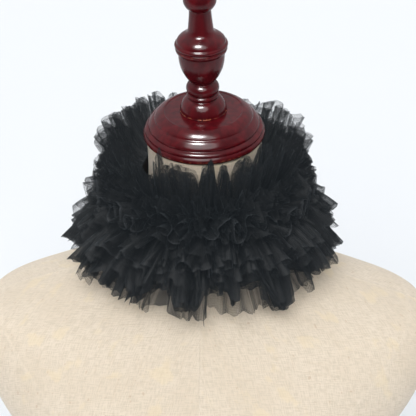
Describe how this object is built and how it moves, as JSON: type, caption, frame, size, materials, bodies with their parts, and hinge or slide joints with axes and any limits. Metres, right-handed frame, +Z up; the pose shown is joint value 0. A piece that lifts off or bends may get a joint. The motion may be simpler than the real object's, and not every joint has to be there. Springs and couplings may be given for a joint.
{
  "type": "ruff collar on dress form",
  "caption": "Soft black tulle ruff collar of gathered rows, worn on a limbless linen-covered dress form bust with a turned wooden neck cap and finial.",
  "frame": {"origin": "centre of the bounding box on the form's flat underside, the surface that it stands on", "axes": "+Z up, -Y out of the form's chest (front), +X to the form's left hand side"},
  "size_m": [0.423, 0.258, 0.6019],
  "materials": {
    "tulle": "soft black net",
    "band": "black ribbon",
    "linen": "natural linen weave",
    "mahogany": "gloss varnish"
  },
  "bodies": {
    "root": {"ruffle_crown": "tulle", "ruffle_upper": "tulle", "ruffle_middle": "tulle", "ruffle_lower": "tulle", "ruffle_skirt": "tulle", "neck_band": "band", "form_torso": "linen", "neck_cap": "mahogany", "finial": "mahogany"}
  },
  "joints": []
}
